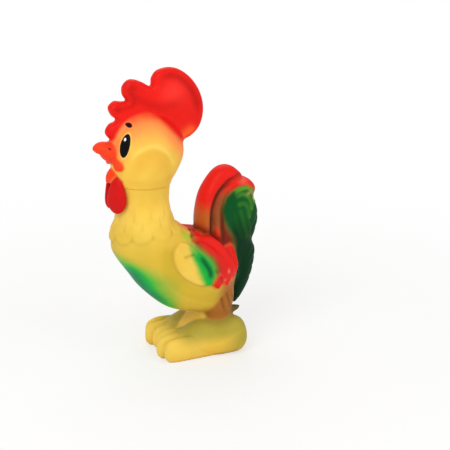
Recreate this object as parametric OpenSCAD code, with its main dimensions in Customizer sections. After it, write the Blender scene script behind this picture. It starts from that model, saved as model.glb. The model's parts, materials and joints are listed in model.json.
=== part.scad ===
// Soft vinyl cockerel squeeze toy: hollow body, turning head and a reed squeaker in the base.
// The bird faces -X, stands on Z = 0, and is mirrored left to right across Y = 0.

/* [Body] */
// Height of the seam where the head sits on the neck
seam_z = 108; // [105:0.5:111]
// Radius of the neck where it is narrowest
neck_r = 15.4; // [15:0.1:15.8]
// How much the neck widens from there up to the seam
neck_lip = 0.8; // [0.5:0.1:1]
// Neck axis ahead of the middle of the base
neck_x = 33.5; // [32:0.5:35]
// Length of the neck from the seam down to the shoulders
neck_len = 25; // [23:0.5:27]
// How much the neck widens on its way down to the shoulders
neck_flare = 4.2; // [3:0.1:5]
// Height of the underside of the belly
belly_z = 27; // [25:0.5:29]
// Height of the foremost point of the chest
chest_z = 75; // [73:0.5:76]
// Reach of the chest ahead of the middle of the base
chest_x = 53; // [51:0.5:55]
// Reach of the rump behind the middle of the base
rump_x = 26; // [24:0.5:28]
// Width of the torso
torso_w = 55; // [52:0.5:58]
// Wall of the soft moulding
wall = 2.2; // [1.8:0.1:2.6]

/* [Neck ruff] */
// Feathers in each row of the ruff
ruff_feathers = 10; // [8:2:14]
// Rows of feathers
ruff_rows = 3; // [2:1:3]
// Height of the lowest feather tips at the chest
ruff_z = 74; // [72:0.5:76]
// Rise of the ruff from the chest round to the back
ruff_rise = 6; // [5:0.5:6.5]
// Step from one row of tips to the next
ruff_pitch = 5.5; // [5:0.5:7]
// How far a feather tip stands off the neck
ruff_lift = 1.3; // [0.8:0.1:1.6]
// Depth of the notch between two tips
ruff_notch = 3.5; // [3:0.5:4]

/* [Wings] */
// Thickness of a wing feather
wing_t = 5; // [4:0.5:6]
// Step in height between overlapping wing feathers
wing_step = 0.9; // [0.6:0.1:1.2]
// Front of the wings ahead of the middle of the base
wing_x = 23; // [21:0.5:25]
// Height that the wings hang from
wing_z = 75; // [73:0.5:77]
// Length of a wing from front to back
wing_l = 42; // [40:0.5:43]
// Height of a wing
wing_h = 30; // [28:0.5:31]

/* [Tail] */
// Height of the top of the tail
tail_z = 116; // [113:0.5:119]
// Height of the tail from its lowest tip to its top
tail_h = 89; // [87:0.5:91]
// Reach of the tail behind the middle of the base
tail_x = 40; // [38.5:0.5:41.5]
// Thickness of the tail at its top
tail_t = 13; // [11:0.5:15]
// Thickness of the tail at the rump
tail_root_t = 24; // [20:0.5:28]
// Thickness of the tail at its lowest tip
tail_tip_t = 9; // [8:0.5:11]

/* [Legs and feet] */
// Length of a foot
foot_l = 58; // [55:0.5:61]
// Width of a foot
foot_w = 25; // [23:0.5:27]
// Height of the toes
toe_h = 15; // [13:0.5:16]
// Height of the instep
instep_h = 24; // [22:0.5:26]
// Sideways distance between the middles of the two feet
stance = 24; // [22:0.5:26]
// Radius of a drumstick
leg_r = 10.5; // [9.5:0.5:11.5]
// Drumsticks behind the middle of the base
leg_x = 10; // [8:0.5:12]
// Length of the spur behind each leg
spur_l = 6; // [5:0.5:7]
// Thickness of the sole around the squeaker
sole_t = 3.4; // [3:0.1:4]

/* [Head] */
// Height of the crown above the seam
head_h = 44; // [42:0.5:46]
// Length of the head from face to back
head_l = 44.6; // [43:0.1:46]
// Width of the head
head_w = 41.5; // [40:0.5:44]
// Middle of the head ahead of the middle of the base
head_x = 31.2; // [30:0.1:32]

/* [Comb] */
// Thickness of the comb
comb_t = 9.5; // [8:0.5:11]
// Height of the comb above the crown
comb_rise = 25.4; // [24:0.2:27]
// Overhang of the rear lobe behind the middle of the head
comb_back = 35.1; // [34:0.1:36]
// Reach of the lowest front lobe ahead of the middle of the head
comb_front = 25.4; // [25:0.1:26.5]
// Rounding of the edge of the comb
comb_round = 3; // [2:0.2:3.2]

/* [Beak and wattles] */
// Reach of the beak tip ahead of the middle of the head
beak_reach = 33; // [31:0.5:35]
// Height of the beak tip above the seam
beak_tip_z = 22.6; // [21:0.5:25]
// Width of the upper beak at the face
beak_w = 18; // [16:0.5:20]
// Length of a wattle
wattle_l = 25; // [22:0.5:26]
// Width of a wattle
wattle_w = 14; // [13:0.5:15]
// Thickness of a wattle
wattle_t = 4.2; // [3.6:0.1:4.4]
// Direction of each wattle from the neck axis, off to the side
wattle_turn = 20; // [18:1:23]
// Angle of each wattle to the length of the bird
wattle_splay = 48; // [45:1:51]
// Distance of the wattles out from the side of the neck
wattle_out = 3.6; // [3.4:0.1:4.4]
// Lean of the wattle tips away from the neck
wattle_lean = 0.8; // [0.6:0.1:1.2]
// Height of the top of the wattles above the seam
wattle_top = 9.5; // [8:0.5:11]

/* [Neck joint] */
// Radius of the opening in the top of the neck
socket_r = 9; // [8.5:0.1:9.5]
// Radius of the flange that holds the head in
flange_r = 11.6; // [11:0.1:12]
// Thickness of the neck lip
lip_t = 2.6; // [2.2:0.1:3]
// Thickness of the flange
flange_t = 2; // [1.6:0.1:2.4]
// Running gap between head and body
gap = 0.3; // [0.3:0.05:0.4]

/* [Squeaker] */
// Squeaker axis behind the middle of the base
squeaker_x = 6; // [5:0.5:7]
// Radius of the hole that the squeaker is pushed into
squeaker_r = 7; // [6.8:0.1:7.5]
// Bore of the squeaker barrel
barrel_r = 4.8; // [4.6:0.1:5]
// Height of the squeaker barrel
barrel_h = 17; // [16.5:0.5:18]
// Width of each rim that grips the sole
rim_w = 1.8; // [1.4:0.1:2]
// Thickness of each rim
rim_t = 1.2; // [1:0.1:1.4]
// Distance that the squeaker sits in from the floor
recess = 0.6; // [0.4:0.1:0.8]
// Thickness of the reed tongue
reed_t = 0.25; // [0.2:0.05:0.3]
// Width of the reed tongue
reed_w = 5; // [4.4:0.1:5.4]
// Free length of the reed tongue
reed_l = 9; // [8:0.5:9.5]
// Length of the reed root held by the clamp
root_l = 3; // [2.5:0.5:3.5]
// Play of the reed root in its slot
root_play = 0.15; // [0.12:0.01:0.2]
// Opening between the reed and its channel
reed_gap = 0.55; // [0.5:0.05:0.7]
// Width of the air channel
channel_w = 3.4; // [3:0.1:3.8]
// Depth of the air channel
channel_d = 2.4; // [2:0.1:2.8]
// Width of the air slot past the clamp
slot_w = 3; // [2.4:0.1:3.6]
// Depth of the air slot past the clamp
slot_d = 2; // [1.6:0.1:2.4]
// Fit of the pieces that are pressed together
fit = 0.05; // [0.03:0.01:0.08]
// Thickness of the outer cap
cap_t = 1.4; // [1.2:0.1:1.6]
// Width of the shoulder that the cap sits on
cap_step = 0.8; // [0.6:0.1:1]
// Air holes in the cap
cap_holes = 6; // [4:1:7]
// Radius of an air hole
cap_hole_r = 0.8; // [0.6:0.1:0.9]
// Distance of the air holes from the middle of the cap
cap_hole_at = 3; // [2.6:0.1:3.2]

/* [Hidden] */
$fn = 48;
around = 28;
yellow = "#e8c24a";
white = "#ecebe4";
amber = "#c9a45a";
crown_z = seam_z + head_h;
seam_r = neck_r + neck_lip;
wattle_r = neck_r + wattle_out;
lip_z = seam_z - lip_t;
stub_r = socket_r - gap;
stub_bore_r = stub_r - wall;
floor_z = seam_z + gap;
half_len = foot_l / 2;
barrel_top = recess + barrel_h;
barrel_out_r = squeaker_r - fit;
rim_r = squeaker_r + rim_w;
press_r = barrel_r - fit;
cap_top = recess + cap_t;
cap_seat_r = barrel_r + cap_step;
root_z = barrel_top - root_l;
root_half = reed_t / 2 + root_play;

// Smooth rows between the given ones, each row a list of sizes
function ease(a, b, c, d, t) =
    0.5 * (2 * b + (c - a) * t + (2 * a - 5 * b + 4 * c - d) * t * t
    + (3 * b - a - 3 * c + d) * t * t * t);
function smooth(rows, steps) = [
    for (i = [0 : len(rows) - 2], s = [0 : steps - 1])
        ease(rows[max(i - 1, 0)], rows[i], rows[i + 1], rows[min(i + 2, len(rows) - 1)], s / steps),
    rows[len(rows) - 1]
];

// Closed skin over rings that all have the same number of points
module skin(rings) {
    n = len(rings[0]);
    last = len(rings) - 1;
    sides = [
        for (i = [0 : last - 1], j = [0 : n - 1])
            let (a = i * n, b = a + n, k = (j + 1) % n)
                each [[a + j, b + k, a + k], [a + j, b + j, b + k]]
    ];
    ends = [[for (j = [0 : n - 1]) j], [for (j = [n - 1 : -1 : 0]) last * n + j]];
    polyhedron([for (r = rings) each r], concat(sides, ends), convexity = 8);
}

// Level oval of a section [height, front, back, half width]
function oval(row, n) = [
    for (j = [0 : n - 1])
        let (u = 360 * j / n)
            [(row[1] + row[2]) / 2 + (row[2] - row[1]) / 2 * cos(u), row[3] * sin(u), row[0]]
];
module stack(rows, n = around) {
    skin([for (r = rows) oval(r, n)]);
}
// Section at any height, and the hollow that leaves a wall inside a stack of sections
function at(rows, z) = [z, for (k = [1 : 3]) lookup(z, [for (r = rows) [r[0], r[k]]])];
function hollow(rows, low, high, count) = [
    for (i = [0 : count - 1])
        let (z = low + (high - low) * i / (count - 1), reach = 1.3 * wall,
             m = at(rows, z), u = at(rows, z + reach), d = at(rows, z - reach))
            [z, max(m[1] + wall, u[1], d[1]), min(m[2] - wall, u[2], d[2]), min(m[3] - wall, u[3], d[3])]
];

// Swept form along [x, y, z, half height, half thickness], upright to its own path
function path_dir(rows, i) =
    let (d = rows[min(i + 1, len(rows) - 1)] - rows[max(i - 1, 0)])
        [d[0], d[2]] / norm([d[0], d[2]]);
module sweep(rows, n = 16) {
    skin([
        for (i = [0 : len(rows) - 1])
            let (r = rows[i], d = path_dir(rows, i))
                [for (j = [0 : n - 1])
                    let (u = 360 * j / n)
                        [r[0] - d[1] * r[3] * cos(u), r[1] - r[4] * sin(u), r[2] + d[0] * r[3] * cos(u)]]
    ]);
}

module mirrored() {
    children();
    mirror([0, 1, 0])
        children();
}

// One seamless moulding out of several forms that run into each other
module moulding() {
    resize([0, 0, 0])
        children();
}

// Torso sections as shares of its height, chest reach, rump reach and half width
torso_shares = [
    [0.00, 0.19, 0.42, 0.34], [0.04, 0.33, 0.60, 0.53], [0.13, 0.475, 0.77, 0.74],
    [0.35, 0.69, 0.96, 0.945], [0.56, 0.83, 1.00, 1.00], [0.73, 0.94, 0.84, 0.985],
    [0.86, 1.00, 0.50, 0.93], [1.00, 1.00, 0.02, 0.85]
];
// Neck sections as shares of its length and of its flare at the front, back and sides
neck_shares = [
    [1.00, 0.55, 1.05, 1.00], [0.72, 0.30, 0.36, 0.44], [0.42, 0.12, 0.04, 0.00], [0.20, 0, 0.10, 0]
];
body_rows = smooth(concat(
    [for (s = torso_shares)
        [belly_z + s[0] * (chest_z - belly_z), -chest_x * s[1], rump_x * s[2], torso_w / 2 * s[3]]],
    [for (s = neck_shares)
        [seam_z - neck_len * s[0], -neck_x - neck_r - neck_flare * s[1],
         -neck_x + neck_r + neck_flare * s[2], neck_r + neck_flare * s[3]]],
    [[seam_z, -neck_x - seam_r, -neck_x + seam_r, seam_r]]), 2);

// Half width of the body at a place along its side
function side_at(x, z) =
    let (r = at(body_rows, z), s = (2 * x - r[1] - r[2]) / (r[2] - r[1]))
        r[3] * sqrt(max(0.05, 1 - s * s));

// Height of the lower edge of a row of ruff feathers, with rounded tips and sharp notches
function ruff_edge(u, row) =
    ruff_z + row * ruff_pitch + ruff_rise * (1 + cos(u)) / 2
    + ruff_notch * (1 - abs(cos((u + 180) * ruff_feathers / 2 + 90 * row)));
function ruff_end(u, row) = row < ruff_rows ? ruff_edge(u, row) : ruff_edge(u, row - 1) + ruff_pitch;
// Levels up the body at one angle, as [height, stand-off], with each ruff row lapping the one below
function body_levels(u) = let (low = ruff_z - ruff_notch) concat(
    [for (r = body_rows) if (r[0] < low) [r[0], 0]],
    [for (t = [0, 0.4, 0.75]) [low + (ruff_edge(u, 0) - low) * t, 0]],
    [for (row = [0 : ruff_rows - 1])
        let (a = ruff_edge(u, row), b = ruff_end(u, row + 1))
            each [[a, row > 0 ? ruff_lift * 0.3 : 0], [a, ruff_lift], [(a + b) / 2, ruff_lift * 0.75]]],
    [for (t = [0, 0.5, 1]) let (a = ruff_end(u, ruff_rows)) [a + (seam_z - a) * t, 0]]
);
function body_point(u, level) =
    let (r = at(body_rows, level[0]))
        [(r[1] + r[2]) / 2 + ((r[2] - r[1]) / 2 + level[1]) * cos(u),
         (r[3] + level[1]) * sin(u), level[0]];
// Torso and neck with the feathered ruff
module trunk() {
    points = 4 * ruff_feathers;
    columns = [
        for (j = [0 : points - 1])
            let (u = 360 * j / points)
                [for (l = body_levels(u)) body_point(u, l)]
    ];
    skin([for (i = [0 : len(columns[0]) - 1]) [for (c = columns) c[i]]]);
}

// Wing feathers as shares of its length, its height and half its height, rear feather first
wing_shares = [
    [[0.48, 0.00, 0.10], [0.77, 0.19, 0.43], [0.95, 0.50, 0.40], [0.99, 0.77, 0.27], [0.98, 0.90, 0.05]],
    [[0.30, 0.01, 0.10], [0.62, 0.20, 0.47], [0.81, 0.53, 0.47], [0.85, 0.83, 0.30], [0.85, 0.98, 0.05]],
    [[0.20, 0.06, 0.10], [0.43, 0.23, 0.47], [0.62, 0.53, 0.50], [0.68, 0.83, 0.30], [0.68, 0.97, 0.05]],
    [[0.06, 0.03, 0.05], [0.09, 0.08, 0.29], [0.15, 0.18, 0.45], [0.26, 0.39, 0.56], [0.41, 0.62, 0.46],
     [0.50, 0.76, 0.26], [0.55, 0.83, 0.05]]
];
// Each feather bends with the side of the body, less where the body turns away, and is rooted in it
module wing_feather(shares, layer) {
    rows = [
        for (s = smooth(shares, 2))
            [s[0] * wing_l - wing_x, 0, wing_z - s[1] * wing_h, s[2] * wing_h / 2]
    ];
    lift = wing_step * (1 + layer) - wing_t / 2;
    skin([
        for (i = [0 : len(rows) - 1])
            let (r = rows[i], d = path_dir(rows, i), mid = side_at(r[0], r[2]) - wing_t / 2)
                [for (j = [0 : 11])
                    let (u = 30 * j, x = r[0] - d[1] * r[3] * cos(u), z = r[2] + d[0] * r[3] * cos(u))
                        [x, max(mid, side_at(x, z)) + lift - wing_t * (sin(u) > 0 ? 1 : 0.5) * sin(u), z]]
    ]);
}
module wing() {
    for (layer = [0 : len(wing_shares) - 1])
        wing_feather(wing_shares[layer], layer);
}

// Tail feathers as shares of its reach, its height and its reach again, front feather first
tail_shares = [
    [[0.175, 0.65, 0.10], [0.115, 0.43, 0.115], [0.135, 0.30, 0.132], [0.225, 0.18, 0.155],
     [0.425, 0.07, 0.155], [0.625, 0.083, 0.10], [0.74, 0.118, 0.02]],
    [[0.325, 0.65, 0.10], [0.27, 0.43, 0.105], [0.29, 0.29, 0.105], [0.375, 0.19, 0.105],
     [0.54, 0.135, 0.095], [0.73, 0.126, 0.085], [0.87, 0.165, 0.07], [0.915, 0.22, 0.02]],
    [[0.57, 0.67, 0.18], [0.64, 0.515, 0.27], [0.68, 0.39, 0.32], [0.68, 0.30, 0.305],
     [0.71, 0.225, 0.26], [0.77, 0.175, 0.18], [0.81, 0.145, 0.02]],
    [[0.45, 0.67, 0.175], [0.62, 0.56, 0.19], [0.77, 0.60, 0.18], [0.775, 0.69, 0.175],
     [0.725, 0.80, 0.17], [0.665, 0.91, 0.12], [0.64, 1.00, 0.02]]
];
// Thickness of each tail feather as a share of the tail's own
tail_depths = [1.00, 0.95, 0.88, 0.80];
// Middle of the tail as shares in the same order
core_shares = [
    [0.35, 0.79, 0.35], [0.35, 0.61, 0.35], [0.375, 0.45, 0.25], [0.475, 0.29, 0.20], [0.60, 0.19, 0.10]
];
// Half thickness of the middle of the tail, and of the feathers, which thin towards the lowest tip
function tail_half(z) = lookup(z, [[chest_z, tail_root_t / 2], [tail_z, tail_t / 2]]);
function feather_half(z) =
    min(tail_half(z), lookup(z, [[tail_z - tail_h, tail_tip_t / 2], [chest_z, tail_root_t / 2]]));
module tail_feather(shares, depth) {
    sweep([
        for (s = smooth(shares, 2))
            let (z = tail_z - s[1] * tail_h)
                [s[0] * tail_x, 0, z, s[2] * tail_x, feather_half(z) * depth * min(1, s[2] / 0.08)]
    ], 12);
}
// Middle of the tail that the feathers lie on
module tail_core(by) {
    sweep([
        for (s = smooth(core_shares, 2))
            let (z = tail_z - s[1] * tail_h)
                [s[0] * tail_x, 0, z, s[2] * tail_x - by, tail_half(z) - 1.5 - by]
    ], 14);
}

// Toes and instep of the foot on the +Y side
module foot() {
    toe_w = foot_w / 3;
    mid = toe_h / 2;
    for (k = [-1, 0, 1])
        let (tip = half_len - 2.5 * abs(k), y = stance / 2 + k * (toe_w - 0.4))
            sweep(smooth([
                [leg_x, stance / 2 + k * 4, mid, mid, toe_w / 2],
                [-tip / 2, y, mid, mid, toe_w / 2 + 0.2],
                [-tip + 5, y, mid - 1, mid - 0.4, toe_w / 2],
                [-tip + 1.6, y, mid - 1.2, mid - 2, toe_w / 2 - 1],
                [-tip + 0.4, y, mid - 1.2, mid - 4.2, toe_w / 2 - 2.4],
                [-tip, y, mid - 1.2, 0.8, 0.6]
            ], 2), 12);
    sweep(smooth([
        [-half_len * 0.6, stance / 2, mid - 1, mid - 1.5, foot_w / 2 - 3],
        [leg_x - 11, stance / 2, instep_h / 2 - 2, instep_h / 2 - 1, foot_w / 2 - 1],
        [leg_x + 3, stance / 2, instep_h / 2 - 0.5, instep_h / 2 + 0.5, foot_w / 2],
        [half_len - 6, stance / 2, instep_h / 2 - 1.5, instep_h / 2 - 1, foot_w / 2 - 2],
        [half_len - 2.4, stance / 2, instep_h / 2 - 1.7, instep_h / 2 - 3.4, foot_w / 2 - 4.6],
        [half_len - 0.6, stance / 2, instep_h / 2 - 1.7, instep_h / 2 - 7, foot_w / 2 - 8],
        [half_len, stance / 2, instep_h / 2 - 1.7, 1, 1]
    ], 2), 14);
}
// Drumstick with a small spur behind it
module drumstick() {
    translate([0, stance / 2 - 2, 0])
        stack(smooth([
            [instep_h - 10, leg_x - leg_r * 0.8, leg_x + leg_r * 0.8, leg_r * 0.8],
            [instep_h, leg_x - leg_r * 0.75, leg_x + leg_r * 0.75, leg_r * 0.75],
            [belly_z + 5, leg_x - leg_r, leg_x + leg_r, leg_r],
            [belly_z + 14, leg_x - leg_r * 1.2, leg_x + leg_r * 1.1, leg_r]
        ], 2), 16);
    back = leg_x + leg_r * 0.9;
    sweep(smooth([
        [back - spur_l / 2, stance / 2 - 2, belly_z - 1, 3.2, 3],
        [back + spur_l / 2, stance / 2 - 2, belly_z - 0.4, 2.2, 2.2],
        [back + spur_l, stance / 2 - 2, belly_z + 1, 0.5, 0.5]
    ], 2), 10);
}
// Middle of the legs and feet, where the two sides run together
web_rows = smooth([
    [0, leg_x - 26, leg_x + 15, stance / 2],
    [toe_h - 3, leg_x - 22, leg_x + 13, stance / 2],
    [instep_h, leg_x - 13, leg_x + 9, stance / 2 + 3],
    [belly_z + 9, leg_x - 12, leg_x + 10, stance / 2 + 4]
], 2);

module body_skin() {
    trunk();
    mirrored() {
        wing();
        foot();
        drumstick();
    }
    tail_core(0);
    for (i = [0 : len(tail_shares) - 1])
        tail_feather(tail_shares[i], tail_depths[i]);
    stack(web_rows, 20);
}
// Air space inside the body, open to the neck and to the sole
module body_air() {
    stack(hollow(body_rows, belly_z + wall, lip_z, 13), 20);
    stack(hollow(web_rows, sole_t, belly_z + 8, 6), 20);
    tail_core(wall + 1);
}
module body_shell() {
    color(yellow)
        difference() {
            moulding()
                body_skin();
            moulding()
                body_air();
            translate([0, 0, -2 * half_len])
                cube(4 * half_len, center = true);
            translate([-neck_x, 0, lip_z - wall])
                cylinder(r = socket_r, h = 2 * (lip_t + wall));
            translate([squeaker_x, 0, -sole_t])
                cylinder(r = squeaker_r, h = 3 * sole_t);
            translate([squeaker_x, 0, -sole_t])
                cylinder(r = rim_r + fit, h = sole_t + recess + rim_t);
        }
}

// Head sections as shares of its height and of the swelling from the neck to the widest level
cheek_shares = [[0.00, 0], [0.08, 0.34], [0.17, 0.66], [0.32, 0.94], [0.455, 1.00]];
// Dome sections as shares of its height and of the widest level
dome_shares = [[0.62, 0.955], [0.787, 0.80], [0.90, 0.60], [0.966, 0.36], [1.00, 0.10]];
head_rows = smooth(concat(
    [for (s = cheek_shares)
        [floor_z + s[0] * (crown_z - floor_z),
         -(neck_x + seam_r) * (1 - s[1]) - (head_x + head_l / 2) * s[1],
         (seam_r - neck_x) * (1 - s[1]) + (head_l / 2 - head_x) * s[1],
         seam_r * (1 - s[1]) + head_w / 2 * s[1]]],
    [for (s = dome_shares)
        [floor_z + s[0] * (crown_z - floor_z), -head_x - head_l / 2 * s[1],
         -head_x + head_l / 2 * s[1], head_w / 2 * s[1]]]), 2);

// Outline of the comb as shares of its reach ahead, its overhang behind and its rise over the crown
comb_shares = [
    [-0.50, -0.75], [-0.83, -0.67], [-1.00, -0.47], [-0.90, -0.26], [-0.73, -0.18], [-0.86, -0.05],
    [-0.92, 0.13], [-0.78, 0.27], [-0.63, 0.26], [-0.50, 0.27], [-0.58, 0.41], [-0.58, 0.59],
    [-0.45, 0.74], [-0.28, 0.75], [-0.08, 0.67], [0.07, 0.58], [0.09, 0.76], [0.18, 0.93],
    [0.37, 1.00], [0.56, 0.95], [0.76, 0.76], [0.92, 0.46], [1.00, 0.10], [0.98, -0.26],
    [0.87, -0.54], [0.66, -0.73], [0.43, -0.71], [0.18, -0.47], [-0.19, -0.55]
];
function comb_ring(edge, y, inset) = [
    for (i = [0 : len(edge) - 1])
        let (d = edge[(i + 1) % len(edge)] - edge[(i + len(edge) - 1) % len(edge)],
             n = [d[1], -d[0]] / norm(d))
            [edge[i][0] + n[0] * inset - head_x, y, edge[i][1] + n[1] * inset + crown_z]
];
module comb() {
    edge = smooth([
        for (s = comb_shares)
            [s[0] * (s[0] < 0 ? comb_front : comb_back), s[1] * comb_rise]
    ], 2);
    skin([for (a = [-90 : 36 : 90]) comb_ring(edge, comb_t / 2 * sin(a), comb_round * (1 - cos(a)))]);
}
// Upper and lower beak, with a small lobe at each corner of the mouth
module beak() {
    face = -head_x - head_l / 2;
    tip = -head_x - beak_reach;
    tip_z = seam_z + beak_tip_z;
    half = beak_w / 2;
    reach = face - tip;
    sweep(smooth([
        [face + 8, 0, tip_z - 3.4, 9.5, half + 0.5], [face, 0, tip_z - 2.2, 7, half - 1.2],
        [face - reach * 0.45, 0, tip_z + 0.4, 4.7, half - 3.6],
        [face - reach * 0.8, 0, tip_z + 0.8, 2.8, half - 6], [tip, 0, tip_z + 0.6, 0.8, 0.7]
    ], 2), 12);
    sweep(smooth([
        [face + 9, 0, tip_z - 12, 5, half - 1.5], [face + 3, 0, tip_z - 15.5, 4.4, half - 2.5],
        [face - 0.5, 0, tip_z - 18.5, 3, half - 4.4], [face - 2.5, 0, tip_z - 20.3, 0.6, 1]
    ], 2), 12);
    mirrored()
        sweep(smooth([
            [face - 2.5, half - 4.5, tip_z - 2.6, 0.6, 0.6], [face - 0.5, half - 3, tip_z - 4.2, 2, 1.8],
            [face + 1.3, half - 1.2, tip_z - 6.2, 2.8, 2.4], [face + 2.9, half + 0.4, tip_z - 8, 3.9, 3],
            [face + 4.1, half + 1.3, tip_z - 9.4, 3.4, 2.6], [face + 4.9, half + 1.8, tip_z - 10.3, 0.8, 0.8]
        ], 2), 10);
}
// Drop-shaped wattle that hangs beside the throat, clear of the neck as the head turns
module wattle() {
    half = wattle_w / 2;
    translate([-neck_x, 0, seam_z + wattle_top])
        rotate([0, 0, -wattle_turn])
            translate([-wattle_r, 0, 0])
                rotate([0, 0, wattle_turn + wattle_splay])
                    sweep(smooth([
                        [0, -4, 0, half * 0.4, wattle_t * 0.45],
                        [0, 0, -wattle_l * 0.3, half * 0.6, wattle_t * 0.45],
                        [0, wattle_lean * 0.5, -wattle_l * 0.65, half * 0.97, wattle_t * 0.5],
                        [0, wattle_lean, -wattle_l * 0.85, half * 0.8, wattle_t * 0.42],
                        [0, wattle_lean, -wattle_l * 0.97, half * 0.4, wattle_t * 0.25],
                        [0, wattle_lean, -wattle_l, 0.5, 0.4]
                    ], 2), 12);
}
// Hollow stub and flange that snap through the neck lip
module neck_plug() {
    low = lip_z - gap - flange_t;
    translate([-neck_x, 0, 0])
        rotate_extrude($fn = 64)
            polygon([
                [stub_bore_r, floor_z + wall / 2], [stub_r, floor_z + wall / 2], [stub_r, lip_z - gap],
                [flange_r, lip_z - gap], [flange_r, low], [stub_r, low - flange_t],
                [stub_bore_r, low - flange_t]
            ]);
}
module head_shell() {
    color(yellow) {
        difference() {
            moulding() {
                stack(head_rows);
                comb();
                beak();
                mirrored()
                    wattle();
            }
            stack(hollow(head_rows, floor_z + wall, crown_z - 2 * wall, 9), 20);
            translate([-neck_x, 0, floor_z - wall])
                cylinder(r = stub_bore_r, h = 3 * wall);
        }
        neck_plug();
    }
}

// Barrel with two rims that grip the sole, and a seat for the cap
module squeaker_barrel() {
    grip_z = sole_t + fit;
    color(white)
        translate([squeaker_x, 0, 0])
            rotate_extrude($fn = 64)
                polygon([
                    [cap_seat_r, recess], [rim_r, recess], [rim_r, recess + rim_t],
                    [barrel_out_r, recess + rim_t], [barrel_out_r, grip_z], [rim_r, grip_z],
                    [rim_r, grip_z + rim_t / 2], [barrel_out_r, grip_z + rim_t * 1.5],
                    [barrel_out_r, barrel_top], [barrel_r, barrel_top],
                    [barrel_r, cap_top], [cap_seat_r, cap_top]
                ]);
}
module squeaker_cap() {
    color(white)
        translate([squeaker_x, 0, recess])
            difference() {
                cylinder(r = cap_seat_r - fit, h = cap_t);
                for (i = [0 : cap_holes - 1])
                    rotate([0, 0, (i + 0.5) * 360 / cap_holes])
                        translate([cap_hole_at, 0, -cap_t])
                            cylinder(r = cap_hole_r, h = 3 * cap_t);
            }
}
// Half-round rod below (side -1) or above (side 1) the reed
module half_rod(side, low, high, face) {
    translate([squeaker_x, 0, low])
        intersection() {
            cylinder(r = press_r, h = high - low);
            translate([-barrel_r, side > 0 ? face : -2 * barrel_r - face, 0])
                cube([2 * barrel_r, 2 * barrel_r, high - low]);
        }
}
// Block with the air channel that the reed beats over
module reed_channel() {
    face = reed_t / 2 + reed_gap;
    color(white)
        difference() {
            union() {
                half_rod(-1, cap_top, barrel_top, face);
                half_rod(-1, root_z, barrel_top, root_half);
            }
            translate([squeaker_x - channel_w / 2, -face - channel_d, cap_top - cap_t])
                cube([channel_w, 2 * channel_d, root_z - cap_top]);
        }
}
// Half-round clamp over the root of the reed, with a slot that lets the air past
module reed_clamp() {
    color(white)
        difference() {
            half_rod(1, root_z, barrel_top, root_half);
            translate([squeaker_x - slot_w / 2, barrel_r - slot_d, root_z - root_l])
                cube([slot_w, 2 * slot_d, 3 * root_l]);
        }
}
module reed_tongue() {
    color(amber)
        translate([squeaker_x - reed_w / 2, -reed_t / 2, root_z - reed_l])
            cube([reed_w, reed_t, reed_l + root_l]);
}

body_shell();
head_shell();
squeaker_barrel();
squeaker_cap();
reed_channel();
reed_clamp();
reed_tongue();
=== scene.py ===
import json
import math
import bpy
import numpy as np
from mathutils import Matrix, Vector, bvhtree

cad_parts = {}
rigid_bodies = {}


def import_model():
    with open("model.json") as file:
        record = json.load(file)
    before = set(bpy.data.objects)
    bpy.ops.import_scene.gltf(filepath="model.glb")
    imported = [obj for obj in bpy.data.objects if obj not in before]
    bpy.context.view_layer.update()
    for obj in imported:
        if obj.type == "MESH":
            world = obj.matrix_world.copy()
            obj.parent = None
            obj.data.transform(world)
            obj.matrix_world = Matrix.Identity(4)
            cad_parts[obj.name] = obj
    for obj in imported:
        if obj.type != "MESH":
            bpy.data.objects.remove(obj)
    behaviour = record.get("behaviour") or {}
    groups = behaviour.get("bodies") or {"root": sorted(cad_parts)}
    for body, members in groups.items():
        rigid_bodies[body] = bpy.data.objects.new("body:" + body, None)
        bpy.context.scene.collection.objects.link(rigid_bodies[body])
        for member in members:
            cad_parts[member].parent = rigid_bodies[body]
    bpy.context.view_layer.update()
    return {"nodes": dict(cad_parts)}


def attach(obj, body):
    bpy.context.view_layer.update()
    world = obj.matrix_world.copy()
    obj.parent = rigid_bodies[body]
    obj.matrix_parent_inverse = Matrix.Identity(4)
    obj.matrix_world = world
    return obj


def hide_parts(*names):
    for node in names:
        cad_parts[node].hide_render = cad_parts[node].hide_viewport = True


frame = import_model()
mm = 0.001
print("frame loaded:", sorted(frame["nodes"]))


# forms, all in millimetres until they become a mesh

def runThrough(rows, steps):
    # a smooth curve through every row
    rows = np.asarray(rows, float)
    out = []
    for i in range(len(rows) - 1):
        a, b = rows[max(i - 1, 0)], rows[i]
        c, d = rows[i + 1], rows[min(i + 2, len(rows) - 1)]
        for t in np.arange(steps) / steps:
            out.append(0.5 * (2 * b + (c - a) * t + (2 * a - 5 * b + 4 * c - d) * t ** 2
                              + (3 * b - a - 3 * c + d) * t ** 3))
    return np.array(out + [rows[-1]])


def roundTurn(n):
    return np.linspace(0, 2 * math.pi, n, endpoint=False)


def pathWay(line):
    way = np.gradient(line, axis=0)
    return way / np.linalg.norm(way, axis=1)[:, None]


def ringSkin(rings):
    rings = np.asarray(rings)
    m, n = rings.shape[:2]
    j = np.arange(n)
    k = (j + 1) % n
    faces = []
    for i in range(m - 1):
        faces += np.c_[i * n + j, i * n + k, (i + 1) * n + k, (i + 1) * n + j].tolist()
    faces += [list(range(n - 1, -1, -1)), list(range((m - 1) * n, m * n))]
    return rings.reshape(-1, 3), faces


def levelStack(rows, n=72):
    # rows of height, front, back, half width
    u = roundTurn(n)
    rings = []
    for z, front, back, half in rows:
        rings.append(np.c_[(front + back) / 2 + (back - front) / 2 * np.cos(u), half * np.sin(u), np.full(n, z)])
    return ringSkin(rings)


def roundRows(x, profile):
    # rows for levelStack out of height and radius about an upright axis
    return [(z, x - r, x + r, r) for z, r in profile]


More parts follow.
